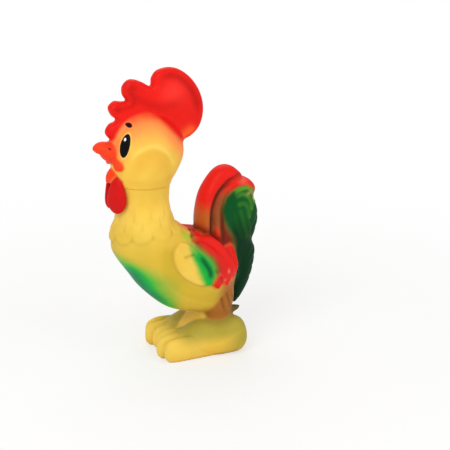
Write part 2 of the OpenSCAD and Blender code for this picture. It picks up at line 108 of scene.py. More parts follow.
def sweptForm(rows, n=32):
    # rows of x, y, z, half height, half thickness along an upright path
    rows = np.asarray(rows, float)
    u = roundTurn(n)
    rings = []
    for (x, y, z, high, thick), d in zip(rows, pathWay(rows[:, [0, 2]])):
        rings.append(np.c_[x - d[1] * high * np.cos(u), y - thick * np.sin(u), z + d[0] * high * np.cos(u)])
    return ringSkin(rings)


def bothSides(form):
    return [form, (form[0] * [1, -1, 1], form[1])]


def placed(form, turn, move):
    c, s = math.cos(math.radians(turn)), math.sin(math.radians(turn))
    v = form[0]
    return np.c_[v[:, 0] * c - v[:, 1] * s, v[:, 0] * s + v[:, 1] * c, v[:, 2]] + np.array(move), form[1]


def meshFrom(name, verts, faces):
    mesh = bpy.data.meshes.new(name)
    mesh.from_pydata((np.asarray(verts) * mm).tolist(), [], faces)
    piece = bpy.data.objects.new(name, mesh)
    bpy.context.scene.collection.objects.link(piece)
    return piece


def bakeModifiers(piece):
    bpy.context.view_layer.update()
    solid = bpy.data.meshes.new_from_object(piece.evaluated_get(bpy.context.evaluated_depsgraph_get()))
    piece.modifiers.clear()
    piece.data = solid
    return piece


def meltForms(name, tagged, voxel):
    # one soft moulding out of forms that run into each other
    verts, faces, base = [], [], 0
    for forms in tagged.values():
        for v, f in forms:
            verts.append(v)
            faces += [[i + base for i in q] for q in f]
            base += len(v)
    piece = meshFrom(name, np.vstack(verts), faces)
    melt = piece.modifiers.new("melt", "REMESH")
    melt.mode = "VOXEL"
    melt.voxel_size = voxel * mm
    return bakeModifiers(piece)


def cutAway(piece, form):
    tool = meshFrom("cutter", *form)
    cut = piece.modifiers.new("cut", "BOOLEAN")
    cut.operation = "DIFFERENCE"
    cut.solver = "EXACT"
    cut.object = tool
    bakeModifiers(piece)
    bpy.data.objects.remove(tool)


# sculpting on the points of a melted skin

def readPoints(piece):
    co = np.zeros(len(piece.data.vertices) * 3)
    piece.data.vertices.foreach_get("co", co)
    return co.reshape(-1, 3) / mm


def writePoints(piece, co):
    piece.data.vertices.foreach_set("co", (co * mm).ravel())
    piece.data.update()


def pointNormals(piece):
    n = np.zeros(len(piece.data.vertices) * 3)
    piece.data.vertices.foreach_get("normal", n)
    return n.reshape(-1, 3)


def edgePairs(piece):
    e = np.zeros(len(piece.data.edges) * 2, int)
    piece.data.edges.foreach_get("vertices", e)
    return e.reshape(-1, 2)


def averaged(values, pairs):
    values = np.asarray(values, float)
    flat = values.reshape(len(values), -1)
    count = np.bincount(pairs.ravel(), minlength=len(flat))
    out = np.empty_like(flat)
    for k in range(flat.shape[1]):
        total = np.bincount(pairs[:, 0], flat[pairs[:, 1], k], len(flat))
        total += np.bincount(pairs[:, 1], flat[pairs[:, 0], k], len(flat))
        out[:, k] = total / np.maximum(count, 1)
    return out.reshape(values.shape)


def softened(mask, pairs, rounds):
    for _ in range(rounds):
        mask = averaged(mask, pairs)
    return mask


def pulled(co, pairs, weight, rounds):
    # draws points towards their neighbours, each by its own weight
    for _ in range(rounds):
        co = co + weight[:, None] * (averaged(co, pairs) - co)
    return co


def relaxed(co, pairs, rounds, give=0.5, take=-0.52):
    for _ in range(rounds):
        co = co + give * (averaged(co, pairs) - co)
        co = co + take * (averaged(co, pairs) - co)
    return co


def hollows(piece, co, pairs, gain):
    # how sharp an inside corner each point lies in
    inward = ((averaged(co, pairs) - co) * pointNormals(piece)).sum(1)
    return softened(np.clip(inward * gain, 0, 1), pairs, 2)


def rounded(piece, co, pairs, rounds):
    # fills sharp inside corners the way a dipped moulding does
    writePoints(piece, co)
    return pulled(co, pairs, 0.6 * hollows(piece, co, pairs, 8), rounds)


def folded(co):
    return np.c_[co[:, 0], np.abs(co[:, 1]), co[:, 2]]


def flattened(co):
    return co * [1, 0, 1]


def pathDistance(co, path, steps=8):
    # distance to a smooth line, and how far along it the nearest place is
    line = runThrough(path, steps)
    a, d = line[:-1], np.diff(line, axis=0)
    best, where = np.full(len(co), 1e9), np.zeros(len(co))
    for i in range(len(a)):
        t = np.clip((co - a[i]) @ d[i] / max(d[i] @ d[i], 1e-9), 0, 1)
        far = np.linalg.norm(co - a[i] - t[:, None] * d[i], axis=1)
        near = far < best
        best[near], where[near] = far[near], (i + t[near]) / len(a)
    return best, where


def awayFrom(co, path, steps=8):
    return pathDistance(co, path, steps)[0]


def ramp(x, low, high):
    t = np.clip((x - low) / (high - low), 0, 1)
    return t * t * (3 - 2 * t)


def bell(away, wide):
    return np.exp(-(away / wide) ** 2)


def traced(co, paths, wide, shares=None):
    # strength of several soft lines together
    shares = shares or [1] * len(paths)
    return np.max([share * bell(awayFrom(co, path), wide) for path, share in zip(paths, shares)], axis=0)


def groove(co, path, width, depth, ends):
    far, where = pathDistance(co, path)
    fade = ramp(where, 0, ends) * ramp(1 - where, 0, ends)
    return -depth * bell(far, width) * fade


def surfaceDistance(co, forms, reach=6.0):
    # how far each point is from a set of forms, looked up only near them
    best = np.full(len(co), 99.0)
    for verts, faces in forms:
        tree = bvhtree.BVHTree.FromPolygons(verts.tolist(), faces)
        low, high = verts.min(0) - reach, verts.max(0) + reach
        for i in np.nonzero(((co > low) & (co < high)).all(1))[0]:
            best[i] = min(best[i], tree.find_nearest(co[i])[3])
    return best


def nearestTag(co, tagged):
    # which of the source forms each point of the skin comes from
    far = np.array([surfaceDistance(co, forms) for forms in tagged.values()])
    owner = far.argmin(0)
    return {name: (owner == k).astype(float) for k, name in enumerate(tagged)}


class Skin:
    # what the paint needs to know of a melted skin
    def __init__(self, piece, co, pairs, tags, blur):
        self.piece, self.co, self.pairs = piece, co, pairs
        self.side, self.flat = folded(co), flattened(co)
        self.on = {name: softened(mask, pairs, blur) for name, mask in tags.items()}

    def fromSpot(self, spot):
        return np.linalg.norm(self.side - spot, axis=1)

    def coat(self, name, mask, rounds=0):
        mask = np.clip(softened(mask, self.pairs, rounds), 0, 1)
        layer = self.piece.data.attributes.new(name, "FLOAT", "POINT")
        layer.data.foreach_set("value", mask.astype(np.float32))


def putOn(data, mat):
    data.materials.clear()
    data.materials.append(mat)


def smoothShade(piece):
    piece.data.polygons.foreach_set("use_smooth", [True] * len(piece.data.polygons))


# finishes

def paint(r, g, b):
    lin = [c / 255 / 12.92 if c <= 10 else ((c / 255 + 0.055) / 1.055) ** 2.4 for c in (r, g, b)]
    return (*lin, 1)


class Finish:
    # short way to wire a node material
    def __init__(self, name):
        self.mat = bpy.data.materials.new(name)
        self.mat.use_nodes = True
        self.tree = self.mat.node_tree
        self.shader = self.tree.nodes["Principled BSDF"]

    def node(self, kind, inputs=(), **settings):
        made = self.tree.nodes.new(kind)
        for key, value in settings.items():
            setattr(made, key, value)
        for key, value in dict(inputs).items():
            self.feed(made.inputs[key], value)
        return made

    def feed(self, socket, value):
        if isinstance(value, bpy.types.NodeSocket):
            self.tree.links.new(value, socket)
        else:
            socket.default_value = value

    def math(self, how, a, b=0.0, c=0.0):
        return self.node("ShaderNodeMath", {0: a, 1: b, 2: c}, operation=how).outputs[0]

    def mix(self, share, a, b):
        made = self.node("ShaderNodeMix", data_type="RGBA")
        self.feed(made.inputs[0], share)
        self.feed(made.inputs[6], a)
        self.feed(made.inputs[7], b)
        return made.outputs[2]

    def spread(self, value, low, high, toLow=0.0, toHigh=1.0):
        made = self.node("ShaderNodeMapRange", {0: value, 1: low, 2: high, 3: toLow, 4: toHigh},
                         interpolation_type="SMOOTHSTEP")
        return made.outputs[0]

    def noise(self, scale, detail=3.0):
        inputs = {"Vector": self.place(), "Scale": scale, "Detail": detail}
        return self.node("ShaderNodeTexNoise", inputs).outputs[0]

    def place(self):
        return self.node("ShaderNodeTexCoord").outputs["Object"]

    def layer(self, name):
        return self.node("ShaderNodeAttribute", attribute_name=name).outputs["Fac"]

    def set(self, **values):
        for key, value in values.items():
            self.feed(self.shader.inputs[key.replace("_", " ")], value)

    def bumpy(self, scale, strength, depth):
        bump = self.node("ShaderNodeBump", {"Height": self.noise(scale, 2), "Strength": strength, "Distance": depth})
        self.set(Normal=bump.outputs[0])


vinyl = {
    "patch": (28, 0.35, 0.7), "speck": (420, 0.12, -0.04), "mottle": (45, 0.94, 1.04), "grain": 60,
    "sheen": 0.08, "coat": 0.03, "coatRough": 0.3, "bump": (900, 0.05, 0.0004),
}


def vinylCoats(f, ground, tones):
    # two-tone vinyl under thin coats of spray, painted highlights and painted shade among them, each a little grainy
    scale, low, high = vinyl["patch"]
    colour = f.mix(f.spread(f.noise(scale, 4), low, high), paint(*ground[0]), paint(*ground[1]))
    scale, gain, start = vinyl["speck"]
    speck = f.math("MULTIPLY_ADD", f.noise(scale, 2), gain, start)
    for name, tone in tones.items():
        share = f.layer(name)
        colour = f.mix(f.math("ADD", share, f.math("MULTIPLY", speck, share)), colour, paint(*tone))
    return colour


def vinylSurface(f, colour, rough):
    scale, low, high = vinyl["mottle"]
    shift = f.spread(f.noise(scale, 4), 0.3, 0.7, low, high)
    mottled = f.node("ShaderNodeHueSaturation", {"Color": colour, "Value": shift}).outputs[0]
    f.set(Base_Color=mottled, Roughness=f.spread(f.noise(vinyl["grain"], 3), 0.3, 0.7, *rough))
    f.set(Specular_IOR_Level=vinyl["sheen"], Coat_Weight=vinyl["coat"], Coat_Roughness=vinyl["coatRough"])
    f.bumpy(*vinyl["bump"])


# camera, floor and light

photoView = {"yaw": 18, "rise": 15, "far": 0.75, "aim": (-0.013, 0, 0.092), "lens": 98.8, "shift": (0.110, -0.041)}


def setCamera():
    v = photoView
    yaw, rise = math.radians(v["yaw"]), math.radians(v["rise"])
    back = Vector((-math.sin(yaw) * math.cos(rise), -math.cos(yaw) * math.cos(rise), math.sin(rise)))
    data = bpy.data.cameras.new("photoCamera")
    data.lens = v["lens"]
    data.shift_x, data.shift_y = v["shift"]
    data.clip_start = 0.01
    cam = bpy.data.objects.new("photoCamera", data)
    bpy.context.scene.collection.objects.link(cam)
    cam.location = Vector(v["aim"]) + back * v["far"]
    cam.rotation_euler = (-back).to_track_quat("-Z", "Y").to_euler()
    bpy.context.scene.camera = cam
    print("camera set")


studio = {
    "lamps": [  # place, size, watts
        ((-0.75, -0.75, 0.95), 0.9, 7.5),
        ((0.75, -0.85, 0.55), 0.9, 3.0),
        ((0.1, 0.7, 0.9), 0.9, 2.6),
    ],
    "aim": (-0.01, 0, 0.09), "world": 0.6, "white": (1, 1, 1, 1),
    "rings": [(-0.05, 40), (-0.05, 400), (-0.05, 1500), (-0.05, 6000)],  # floor in millimetres
    "floor": ((244, 244, 242), (250, 250, 249)), "floorRough": 0.9,
    "glow": (0.12, 0.45, 0.55, 1.0),  # near and far radius, and the share of white there
}


def setLamps():
    for i, (spot, size, watts) in enumerate(studio["lamps"]):
        data = bpy.data.lights.new("softLamp%d" % i, "AREA")
        data.shape, data.size, data.energy = "DISK", size, watts
        lamp = bpy.data.objects.new(data.name, data)
        bpy.context.scene.collection.objects.link(lamp)
        lamp.location = spot
        lamp.rotation_euler = (Vector(studio["aim"]) - Vector(spot)).to_track_quat("-Z", "Y").to_euler()


def setWorld():
    world = bpy.data.worlds.new("whiteRoom")
    world.use_nodes = True
    bpy.context.scene.world = world
    nodes, links = world.node_tree.nodes, world.node_tree.links
    sky = nodes["Background"]
    sky.inputs["Color"].default_value = studio["white"]
    sky.inputs["Strength"].default_value = studio["world"]
    white = nodes.new("ShaderNodeBackground")  # what the camera sees past the floor
    white.inputs["Color"].default_value = studio["white"]
    either = nodes.new("ShaderNodeMixShader")
    links.new(nodes.new("ShaderNodeLightPath").outputs["Is Camera Ray"], either.inputs[0])
    links.new(sky.outputs[0], either.inputs[1])
    links.new(white.outputs[0], either.inputs[2])
    links.new(either.outputs[0], nodes["World Output"].inputs["Surface"])


def setFloor():
    verts, faces = levelStack(roundRows(0, studio["rings"]), 48)
    floor = meshFrom("paleFloor", verts, faces[:-1])
    look = Finish("paleFloorPaint")
    near, far = studio["floor"]
    look.set(Base_Color=look.mix(look.noise(3.0), paint(*near), paint(*far)), Roughness=studio["floorRough"])
    glow = look.node("ShaderNodeEmission", {"Color": studio["white"], "Strength": 1.0})
    away = look.node("ShaderNodeVectorMath", {0: look.place()}, operation="LENGTH").outputs["Value"]
    seen = look.node("ShaderNodeLightPath").outputs["Is Camera Ray"]
    share = look.math("MULTIPLY", seen, look.spread(away, *studio["glow"]))
    both = look.node("ShaderNodeMixShader", {0: share, 1: look.shader.outputs[0], 2: glow.outputs[0]})
    look.tree.links.new(both.outputs[0], look.tree.nodes["Material Output"].inputs["Surface"])
    putOn(floor.data, look.mat)
    print("studio set")


# body moulding

trunk = {
    "belly": 27, "chest": (75, 53), "rump": 26, "half": 27.5,
    "shares": [(0, .19, .42, .34), (.04, .33, .60, .53), (.13, .475, .77, .74), (.35, .69, .96, .945),
               (.56, .83, 1, 1), (.73, .94, .84, .985), (.86, 1, .50, .93), (1, 1, .02, .85)],
    "neckX": 33.5, "neckR": 15.4, "flare": 4.2, "seam": 108, "lip": 0.8, "neckLen": 25,
    "neck": [(1, .55, 1.05, 1), (.72, .30, .36, .44), (.42, .12, .04, 0), (.20, 0, .10, 0)],
    "socket": [(108, 9.2), (105.2, 9.2), (105.2, 12.4), (99, 12.4)],
    "voxel": 0.62, "sole": 0.45,
}
seat = {  # hole in the sole for the squeaker
    "x": 6, "profile": [(-1, 8.95), (1.9, 8.95), (1.9, 7.1), (3.35, 7.1), (3.35, 9.2), (19, 9.2)],
}
throat = {"bodyLip": 107.97, "headLip": 108.05, "reach": 3, "inner": 12.5}  # lips drawn together at the seam


def trunkRows():
    t = trunk
    z0, (z1, front) = t["belly"], t["chest"]
    rows = [(z0 + a * (z1 - z0), -front * b, t["rump"] * c, t["half"] * d) for a, b, c, d in t["shares"]]
    x, r, f = t["neckX"], t["neckR"], t["flare"]
    rows += [(t["seam"] - t["neckLen"] * a, -x - r - f * b, -x + r + f * c, r + f * d) for a, b, c, d in t["neck"]]
    top = r + t["lip"]
    return rows + [(t["seam"], -x - top, -x + top, top)]


def sideAt(rows, x, z):
    front, back, half = (np.interp(z, rows[:, 0], rows[:, k]) for k in (1, 2, 3))
    s = (2 * x - front - back) / (back - front)
    return half * math.sqrt(max(0.05, 1 - s * s))


wing = {
    "thick": 5, "step": 0.9, "x": 23, "z": 75, "long": 42, "high": 30,
    "rear": [(.48, 0, .10), (.77, .19, .43), (.95, .50, .40), (.99, .77, .27), (.98, .90, .05)],
    "third": [(.30, .01, .10), (.62, .20, .47), (.81, .53, .47), (.85, .83, .30), (.85, .98, .05)],
    "second": [(.20, .06, .10), (.43, .23, .47), (.62, .53, .50), (.68, .83, .30), (.68, .97, .05)],
    "front": [(.06, .03, .05), (.09, .08, .29), (.15, .18, .45), (.26, .39, .56), (.41, .62, .46), (.50, .76, .26),
              (.55, .83, .05)],
}


def wingForms(rows):
    # feathers bend with the side of the body and are rooted in it
    w, out = wing, {}
    u = roundTurn(32)
    depth = w["thick"] * np.where(np.sin(u) > 0, 1, 0.5)
    for layer, part in enumerate(("rear", "third", "second", "front")):
        line = runThrough(w[part], 8) * [w["long"], -w["high"], w["high"] / 2] + [-w["x"], w["z"], 0]
        lift = w["step"] * (1 + layer) - w["thick"] / 2
        rings = []
        for (x, z, half), d in zip(line, pathWay(line[:, :2])):
            px, pz = x - d[1] * half * np.cos(u), z + d[0] * half * np.cos(u)
            y = np.maximum(sideAt(rows, x, z) - w["thick"] / 2, [sideAt(rows, a, b) for a, b in zip(px, pz)])
            rings.append(np.c_[px, y + lift - depth * np.sin(u), pz])
        out["wing_" + part] = bothSides(ringSkin(rings))
    return out


tail = {
    "top": 116, "high": 89, "x": 40, "topHalf": 6.5, "rootHalf": 12, "tipHalf": 4.5, "root": 75, "sunk": 1.2,
    "first": [(.175, .65, .10), (.115, .43, .115), (.135, .30, .132), (.225, .18, .155), (.425, .07, .155),
              (.625, .083, .10), (.74, .118, .02)],
    "second": [(.325, .65, .10), (.27, .43, .105), (.29, .29, .105), (.375, .19, .105), (.54, .135, .095),
               (.73, .126, .085), (.87, .165, .07), (.915, .22, .02)],
    "third": [(.57, .67, .18), (.64, .515, .27), (.68, .39, .32), (.68, .30, .305), (.71, .225, .26),
              (.77, .175, .18), (.81, .145, .02)],
    "low": [(.45, .67, .175), (.62, .56, .19), (.77, .60, .18), (.775, .69, .175), (.725, .80, .17), (.665, .91, .12),
            (.64, 1, .02)],
    "core": [(.35, .79, .35), (.35, .61, .35), (.375, .45, .25), (.475, .29, .20), (.60, .19, .10)],
    "depth": {"first": 1, "second": .95, "third": .88, "low": .80},
}


def tailHalf(z):
    return np.interp(z, [tail["root"], tail["top"]], [tail["rootHalf"], tail["topHalf"]])


def featherHalf(z):
    # the feathers thin towards the lowest tip
    low = tail["top"] - tail["high"]
    return min(tailHalf(z), np.interp(z, [low, tail["root"]], [tail["tipHalf"], tail["rootHalf"]]))


def tailForms():
    w, out = tail, {}
    for part in ("first", "second", "third", "low", "core"):
        line = []
        for a, b, c in runThrough(w[part], 10):
            z = w["top"] - b * w["high"]
            if part == "core":
                thick = tailHalf(z) - w["sunk"]
            else:
                thick = featherHalf(z) * w["depth"][part] * min(1, c / .08)
            line.append((a * w["x"], 0, z, c * w["x"], thick))
        out["tail_" + part] = [sweptForm(line, 40)]
    return out


legs = {"length": 58, "wide": 25, "toe": 15, "instep": 24, "stance": 24, "r": 10.5, "x": 10, "belly": 27, "spur": 6}


def footForms():
    g = legs
    x, y0, h = g["x"], g["stance"] / 2, g["length"] / 2
    mid, half = g["toe"] / 2, g["wide"] / 3 / 2
    feet = []
    for k in (-1, 0, 1):
        tip, y = h - 2.5 * abs(k), y0 + k * (2 * half - 0.4)
        feet.append(sweptForm(runThrough([
            (x, y0 + k * 4, mid, mid, half), (-tip / 2, y, mid, mid, half + .2),
            (-tip + 5, y, mid - 1, mid - .4, half), (-tip + 1.6, y, mid - 1.2, mid - 2, half - 1),
            (-tip + .4, y, mid - 1.2, mid - 4.2, half - 2.4), (-tip, y, mid - 1.2, .8, .6)], 8)))
    i, w = g["instep"] / 2, g["wide"] / 2
    feet.append(sweptForm(runThrough([
        (-h * .6, y0, mid - 1, mid - 1.5, w - 3), (x - 11, y0, i - 2, i - 1, w - 1), (x + 3, y0, i - .5, i + .5, w),
        (h - 6, y0, i - 1.5, i - 1, w - 2), (h - 2.4, y0, i - 1.7, i - 3.4, w - 4.6),
        (h - .6, y0, i - 1.7, i - 7, w - 8), (h, y0, i - 1.7, 1, 1)], 8)))
    return [f for form in feet for f in bothSides(form)]


def legForms():
    g = legs
    x, y0, r, b = g["x"], g["stance"] / 2, g["r"], g["belly"]
    shank = levelStack(runThrough([
        (g["instep"] - 10, x - r * .8, x + r * .8, r * .8), (g["instep"], x - r * .75, x + r * .75, r * .75),
        (b + 5, x - r, x + r, r), (b + 14, x - r * 1.2, x + r * 1.1, r)], 8), 40)
    shank = (shank[0] + [0, y0 - 2, 0], shank[1])
    end, reach = x + r * .9, g["spur"]
    spur = sweptForm(runThrough([
        (end - reach / 2, y0 - 2, b - 1, 3.2, 3), (end + reach / 2, y0 - 2, b - .4, 2.2, 2.2),
        (end + reach, y0 - 2, b + 1, .5, .5)], 5), 20)
    web = levelStack(runThrough([
        (0, x - 26, x + 15, y0), (g["toe"] - 3, x - 22, x + 13, y0), (g["instep"], x - 13, x + 9, y0 + 3),
        (b + 9, x - 12, x + 10, y0 + 4)], 8), 56)
    return {"foot": footForms(), "leg": bothSides(shank) + bothSides(spur), "web": [web]}


ruff = {"feathers": 10, "low": 74, "rise": 6, "pitch": 5.5, "notch": 3.5, "lifts": (0.9, 0.3, 0.2), "dash": 0.35}


def ruffLift(co):
    # soft lobes over the chest, with a short upright dash between two feathers
    f = ruff
    u = np.arctan2(co[:, 1], co[:, 0] + trunk["neckX"])
    z = co[:, 2]
    lift, dash = np.zeros(len(co)), np.zeros(len(co))
    for row, height in enumerate(f["lifts"]):
        beat = np.cos((u + math.pi) * f["feathers"] / 2 + math.pi / 2 * row)
        base = f["low"] + row * f["pitch"] + f["rise"] * (1 + np.cos(u)) / 2
        edge = base + f["notch"] * (1 - np.abs(beat) ** 0.7)
        lift += height * ramp(z, edge - 1.1, edge + 1.3) * (1 - ramp(z, edge + 1, edge + 11))
        dash = np.maximum(dash, bell(beat, 0.16) * ramp(z, base, base + 3) * (1 - ramp(z, base + 5, base + 9)))
    lift *= 1 + 0.9 * ramp(co[:, 0], -46, -53)
    return lift - f["dash"] * dash


def closeLip(co, onNeck, seam, lip):
    # squares the rounded edge at the throat, so that the seam is only a fine line
    far = throat["reach"]
    reach = far if lip > trunk["seam"] else -far
    share = np.clip((co[:, 2] - seam) / reach, 0, 1)
    r = np.hypot(co[:, 0] + trunk["neckX"], co[:, 1])
    near = (onNeck > 0.5) & (r > throat["inner"]) & (np.abs(co[:, 2] - seam) < far)
    z = lip + (seam + reach - lip) * share ** 2 * (2 - share)
    co[:, 2] = np.where(near, z, co[:, 2])
    return co


def nearest(far, *names):
    return np.min([far[name] for name in names], axis=0)


def bodyBlend(co, far):
    # where forms flow into each other: tail lobes, top of the wing, ankles
    x, z = co[:, 0], co[:, 2]
    lobes = np.maximum(far["tail_low"], nearest(far, "tail_third", "tail_core"))
    lobes = np.minimum(lobes, np.maximum(far["tail_third"], far["tail_core"]))
    blend = bell(lobes, 3) * ramp(x, 37, 34) * ramp(x, 14, 17)
    wingTop = bell(nearest(far, "wing_second", "wing_third", "wing_rear"), 1.5)
    blend = np.maximum(blend, 0.6 * wingTop * ramp(z, 55, 66) * ramp(x, -5, 0))
    ankle = np.maximum(far["leg"], nearest(far, "foot", "trunk"))
    ankle = np.minimum(ankle, np.maximum(far["web"], nearest(far, "foot", "leg", "trunk")))
    return np.maximum(blend, 0.8 * bell(ankle, 2.4) * ramp(z, 8, 12))


# lines of fine relief on the body
wingDash = [(-16.7, 29, 68.2), (-13.2, 28.1, 68.8), (-9.6, 26.8, 69.3)]
wingTips = [
    [(3.5, 28, 58), (6.5, 27.5, 54), (8.5, 26.5, 49), (8, 26, 45)],
    [(10.5, 25, 59), (13.5, 24, 54), (15, 22.5, 50), (15, 21.5, 46)],
    [(-4, 25.5, 72), (1.5, 26, 67), (5, 26.5, 61)],
    [(4, 23, 72.5), (9, 23, 67.5), (12, 22.5, 61)],
]
saddleCrease = [(-4, 0, 77.5), (-5, 5, 77.5), (-5, 9.4, 76.6), (-7, 13.5, 76.3), (-7.2, 17.6, 75.8), (-6.5, 21, 74.4)]
tailGrooves = [
    [(27, 0, 110.5), (24, 0, 110), (17.4, 0, 105.8), (11.4, 0, 99.8), (7.8, 0, 91.5), (6.8, 0, 82.9), (6.1, 0, 73)],
    [(34.5, 0, 101.5), (30, 0, 103), (24.1, 0, 102.5), (17.4, 0, 98.5), (14.6, 0, 90.9), (14.1, 0, 82.7),
     (13.9, 0, 72)],
]
tailCurls = [
    [(19, 7.5, 96), (23, 7, 99.6), (28, 6.7, 102), (32, 6.2, 101.8), (35.4, 5, 98), (36.6, 4.6, 93)],
    [(23.5, 7.3, 97.3), (28, 7.2, 98.4), (32, 7, 95.8), (33.6, 7.2, 92), (33.8, 7.6, 89)],
    [(25.5, 8.5, 92.3), (29, 8.2, 92.5), (31.3, 8.2, 89), (32, 8.8, 84)],
]
barbRoots = [(39.6, 92), (40.2, 85), (39.4, 78), (38.4, 66), (38.6, 59), (37.6, 52), (35.4, 45)]
tailBarbs = [[(x, 0, z), (x - 1.5, 4, z - 2), (x - 5, 7.6, z - 7), (x - 7.5, 9, z - 13)] for x, z in barbRoots]
legCreases = [
    [(13.5, 19.8, 40), (15.5, 18.4, 33), (18, 16.5, 26.5)],
    [(9.5, 20.5, 38), (11.5, 20.3, 31), (14, 19.2, 25)],
    [(17.5, 17.2, 38), (18.8, 15.5, 32), (20, 13.5, 27)],
]
cuts = {  # width, depth and the share of the line that runs out softly
    "dash": (0.9, 0.8, 0.12), "curl": (0.9, 0.7, 0.12), "saddle": (1.0, 0.9, 0.12), "tip": (0.8, 0.8, 0.3),
    "tail": (1.1, 1.1, 0.12), "leg": (0.8, 0.5, 0.12),
}


def bodyRelief(co, pairs, tags):
    side, flat, z = folded(co), flattened(co), co[:, 2]
    onTrunk = softened(tags["trunk"], pairs, 3)
    onWing = ramp(onTrunk, 0.6, 0.2)
    move = ruffLift(co) * onTrunk * ramp(z, 70, 73)
    move += groove(side, wingDash, *cuts["dash"]) * onWing
    lobe = tags["tail_third"] + tags["tail_low"]
    for path in tailCurls + tailBarbs:
        move += groove(side, path, *cuts["curl"]) * lobe
    move += groove(side, saddleCrease, *cuts["saddle"])
    for path in wingTips:
        move += groove(side, path, *cuts["tip"]) * onWing
    onTail = sum(tags["tail_" + part] for part in ("first", "second", "third", "core"))
    for path, top in zip(tailGrooves, (120, 97)):  # height where the line has faded out
        move += groove(flat, path, *cuts["tail"]) * onTail * ramp(side[:, 1], 1, 4) * ramp(z, top, top - 12)
    for path in legCreases:
        move += groove(side, path, *cuts["leg"]) * tags["leg"]
    return move


def makeBody():
    rows = runThrough(trunkRows(), 6)
    pocket = roundRows(-trunk["neckX"], trunk["socket"])
    tagged = {"trunk": [levelStack(np.vstack([rows, pocket]), 96)]}
    tagged.update(wingForms(rows))
    tagged.update(tailForms())
    tagged.update(legForms())
    body = meltForms("bodySkin", tagged, trunk["voxel"])
    co, pairs = readPoints(body), edgePairs(body)
    co = relaxed(co, pairs, 5)
    far = {name: surfaceDistance(co, forms) for name, forms in tagged.items()}
    co = pulled(co, pairs, 0.7 * bodyBlend(co, far), 60)
    co = rounded(body, co, pairs, 8)
    tags = nearestTag(co, tagged)
    far["spur"] = surfaceDistance(co, tagged["leg"][2:])
    writePoints(body, co)
    co = co + pointNormals(body) * bodyRelief(co, pairs, tags)[:, None]
    co = relaxed(co, pairs, 1, 0.35, -0.2)
    co[:, 2] = np.where(co[:, 2] < trunk["sole"], 0, co[:, 2])
    co = closeLip(co, tags["trunk"], trunk["seam"], throat["bodyLip"])
    writePoints(body, co)
    bodyPaint(Skin(body, co, pairs, tags, 3), far)
    cutAway(body, levelStack(roundRows(seat["x"], seat["profile"]), 64))
    smoothShade(body)
    putOn(body.data, bodyVinyl())
    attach(body, "body")
    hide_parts("body_shell")
    print("body:", len(body.data.vertices), "points")


# paint of the body: lines and borders in millimetres, coats from the first to the last, painted highlights and shade
# among them
bodyLines = {
    "bellyCore": [(-40, 6.5, 54), (-34, 6.5, 48), (-28, 7, 42)],
    "flank": [(-25, 22, 68), (-24, 24, 58), (-14, 25, 47), (0, 25, 41), (10, 21, 38)],
    "wingBand": [(-10.6, 0, 73.4), (-8.2, 0, 68.5), (-4.4, 0, 63), (-1.8, 0, 58), (-1.6, 0, 51.5)],
    "wingVein": [(-7, 0, 68.5), (-3.2, 0, 63), (-0.6, 0, 58), (-0.6, 0, 53.5)],
    "wingDusk": [(-6, 22.5, 72.5), (-1.5, 25, 68), (3.2, 26, 63.5), (5, 26.8, 58)],
    "tailRoot": [(0.2, 1.7, 77.6), (1.7, 8.5, 78.1), (4.5, 11.4, 76.7), (8.8, 8.6, 73.7), (12.1, 10.2, 71.9),
                 (16.1, 10.2, 69), (19.6, 11.4, 65.8), (21.5, 13, 61.5), (22.5, 14.5, 57)],
    "tailTanHighlight": [(31.5, 7, 98.5), (34.4, 5.5, 99.5), (36.2, 4.7, 94)],
}
# lines of faint painted highlight on the lower tail
tailStreaks = [
    [(22, 9, 86), (24, 9.3, 79), (26.5, 9.2, 72)],
    [(26, 9, 88), (28, 9.3, 80), (30, 9, 72)],
    [(30, 8.8, 86), (32, 8.8, 78), (33, 8.2, 71)],
]
streakShares = (1.0, 0.5, 0.3, 0.06, 0.14, 0.08)
bodyBorders = {
    "belly": ([30, 44.5, 51.5, 55.5, 62.5, 66.5, 70], [17, 20.5, 21.5, 20.5, 17, 13, 9]),  # half width by height
    "ochreAndShade": ([66, 80, 92], [0.75, 0.4, 0]),  # share by height
    "wing": ([0, 0.3, 0.6, 0.85, 1], [2.2, 4.0, 6.4, 6.0, 3.6]),  # half width along the band
    "notch": ([0, 9.4, 13.5, 17.6, 21, 24], [-4, -5, -7, -7.2, -6.5, -2]),  # x by depth
    "feather": ([45, 53, 60, 67, 70.5, 72.5, 75], [3, 3.5, 4, 2.8, 0.5, -2, -5.5]),  # x by height
    "lobe": ([60, 66, 71.3, 76.7, 82.1, 90], [19, 22, 21.4, 17.6, 14.6, 12]),  # x by height
}
bodySpots = {"tint": (-11, 15.5, 77.5), "heel": (24, 20, 12)}
paintedHighlights = [  # painted highlights: place, radius, share
    ((28, 5, 106), 3.0, 0.4), ((13.7, 22.2, 54.9), 1.2, 0.6), ((6.1, 27.2, 54.7), 1.1, 0.5),
    ((10.4, 24.4, 50.3), 1.0, 0.4),
]
bodyTones = {
    "ochreAndShade": (208, 174, 52), "sprayBrown": (170, 106, 40), "tailUmber": (136, 82, 38), "sprayRed": (228, 32, 24),
    "tailRootShadow": (112, 22, 14), "saddleCreaseShade": (126, 18, 14), "tintGreen": (168, 196, 64), "wingDusk": (124, 62, 30),
    "wingGreen": (18, 174, 60), "wingDark": (0, 98, 46), "bellyGreen": (38, 184, 62), "bellyDark": (0, 132, 78),
    "tailGreen": (2, 80, 32), "tailDark": (4, 40, 20), "tailHighlight": (84, 166, 42), "tailTanHighlight": (188, 158, 86),
    "tailLine": (96, 34, 18), "footOlive": (112, 128, 42), "paintedHighlight": (252, 150, 120),
}
bodyGround = ((244, 206, 90), (236, 192, 72))


def border(name, at):
    return np.interp(at, *bodyBorders[name])


